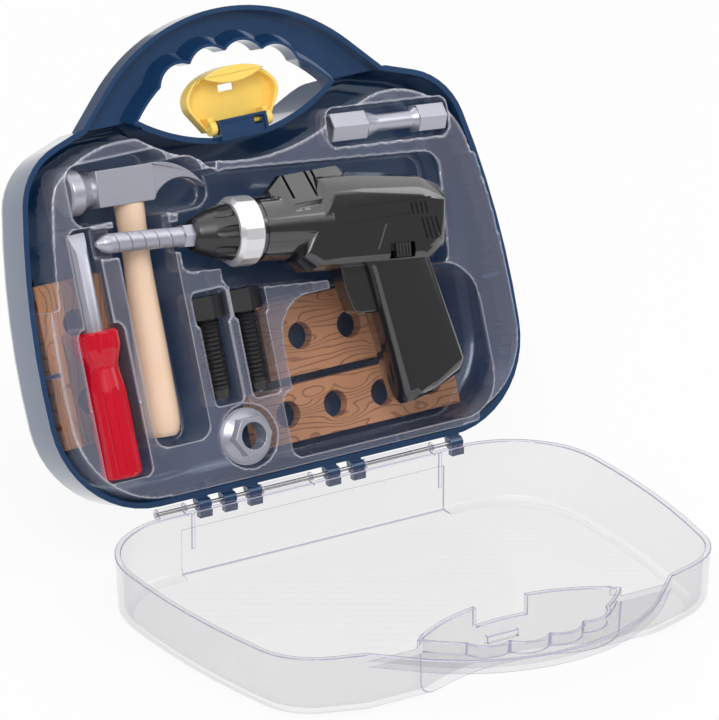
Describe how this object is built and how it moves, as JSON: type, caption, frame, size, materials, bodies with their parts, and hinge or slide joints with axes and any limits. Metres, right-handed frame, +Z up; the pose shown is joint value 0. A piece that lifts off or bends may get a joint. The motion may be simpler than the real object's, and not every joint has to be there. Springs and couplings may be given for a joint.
{
  "type": "toy tool case",
  "caption": "Toy tool case with a navy shell, grip handle and latch, a hinged clear lid and a clear formed tray of toy tools.",
  "frame": {"origin": "centre line of the lid's flat resting face, on the ground, below the middle of the lid", "axes": "+X along the hinge to the right seen from the front, -Y from the hinge to the front of the lid, +Z up"},
  "size_m": [0.3, 0.3723, 0.2789],
  "materials": {
    "clear": "gloss",
    "navy": "gloss",
    "pin_steel": "satin",
    "yellow": "gloss",
    "film": "gloss",
    "plank": "satin",
    "black": "gloss",
    "black_satin": "satin",
    "silver": "gloss",
    "grey": "satin",
    "tan": "gloss",
    "red": "gloss"
  },
  "bodies": {
    "lid": {"lid_shell": "clear", "hinge_pin": "pin_steel"},
    "case": {"case_shell": "navy", "latch_pin": "yellow"},
    "latch": {"latch": "yellow"},
    "tray": {"tray": "film"},
    "plank_left": {"plank_left": "plank"},
    "plank_upper": {"plank_upper": "plank"},
    "plank_lower": {"plank_lower": "plank"},
    "drill": {"drill_front": "black", "drill_back": "black", "drill_collar": "black", "drill_motor": "grey", "drill_gearbox": "black_satin", "drill_trigger_spring": "pin_steel", "drill_battery_cover": "black", "drill_screws": "pin_steel"},
    "spindle": {"drill_chuck": "black_satin", "drill_ring": "silver", "drill_bit": "grey", "drill_spindle": "grey"},
    "trigger": {"drill_trigger": "black"},
    "switch": {"drill_switch": "black_satin"},
    "hammer": {"hammer_head": "grey", "hammer_handle": "tan"},
    "screwdriver": {"screwdriver_handle": "red", "screwdriver_blade": "grey"},
    "socket": {"socket_tool": "grey"},
    "bolt_left": {"bolt_left": "black_satin"},
    "bolt_right": {"bolt_right": "black_satin"},
    "nut": {"nut": "grey"}
  },
  "joints": [
    {"name": "case_hinge", "type": "hinge", "parent": "lid", "child": "case", "pos_m": [0, 0.105, 0.037], "axis": [-1, 0, 0], "range_deg": [-111.7, 0]},
    {"name": "latch_hinge", "type": "hinge", "parent": "case", "child": "latch", "pos_m": [0, 0.17823, 0.22008], "axis": [-1, 0, 0], "range_deg": [-90, 0]},
    {"name": "tray_lift", "type": "slide", "parent": "case", "child": "tray", "axis": [0, -0.9285, 0.3714], "range_m": [0, 0.09]},
    {"name": "drill_lift", "type": "slide", "parent": "tray", "child": "drill", "axis": [0, -0.9285, 0.3714], "range_m": [0, 0.06]},
    {"name": "hammer_lift", "type": "slide", "parent": "tray", "child": "hammer", "axis": [0, -0.9285, 0.3714], "range_m": [0, 0.03]},
    {"name": "screwdriver_lift", "type": "slide", "parent": "tray", "child": "screwdriver", "axis": [0, -0.9285, 0.3714], "range_m": [0, 0.05]},
    {"name": "socket_lift", "type": "slide", "parent": "tray", "child": "socket", "axis": [0, -0.9285, 0.3714], "range_m": [0, 0.04]},
    {"name": "bolt_left_lift", "type": "slide", "parent": "tray", "child": "bolt_left", "axis": [0, -0.9285, 0.3714], "range_m": [0, 0.04]},
    {"name": "bolt_right_lift", "type": "slide", "parent": "tray", "child": "bolt_right", "axis": [0, -0.9285, 0.3714], "range_m": [0, 0.04]},
    {"name": "nut_lift", "type": "slide", "parent": "tray", "child": "nut", "axis": [0, -0.9285, 0.3714], "range_m": [0, 0.03]},
    {"name": "plank_left_lift", "type": "slide", "parent": "case", "child": "plank_left", "axis": [0, -0.9285, 0.3714], "range_m": [0, 0.04]},
    {"name": "plank_upper_lift", "type": "slide", "parent": "case", "child": "plank_upper", "axis": [0, -0.9285, 0.3714], "range_m": [0, 0.04]},
    {"name": "plank_lower_lift", "type": "slide", "parent": "case", "child": "plank_lower", "axis": [0, -0.9285, 0.3714], "range_m": [0, 0.04]},
    {"name": "spindle_spin", "type": "hinge", "parent": "drill", "child": "spindle", "pos_m": [-0.0213, 0.14464, 0.17247], "axis": [0.994, -0.0408, -0.1019], "continuous": true},
    {"name": "trigger_pull", "type": "slide", "parent": "drill", "child": "trigger", "axis": [0.994, -0.0408, -0.1019], "range_m": [0, 0.005], "stiffness_N_per_m": 200, "deforming": ["drill_trigger_spring"]},
    {"name": "switch_slide", "type": "slide", "parent": "drill", "child": "switch", "axis": [0.994, -0.0408, -0.1019], "range_m": [-0.003, 0.003]}
  ],
  "couplings": [
    {"joint": "plank_left_lift", "follows": "tray_lift", "ratio": 0.4},
    {"joint": "plank_upper_lift", "follows": "tray_lift", "ratio": 0.4},
    {"joint": "plank_lower_lift", "follows": "tray_lift", "ratio": 0.4},
    {"joint": "hammer_lift", "follows": "drill_lift", "ratio": 0.45}
  ]
}
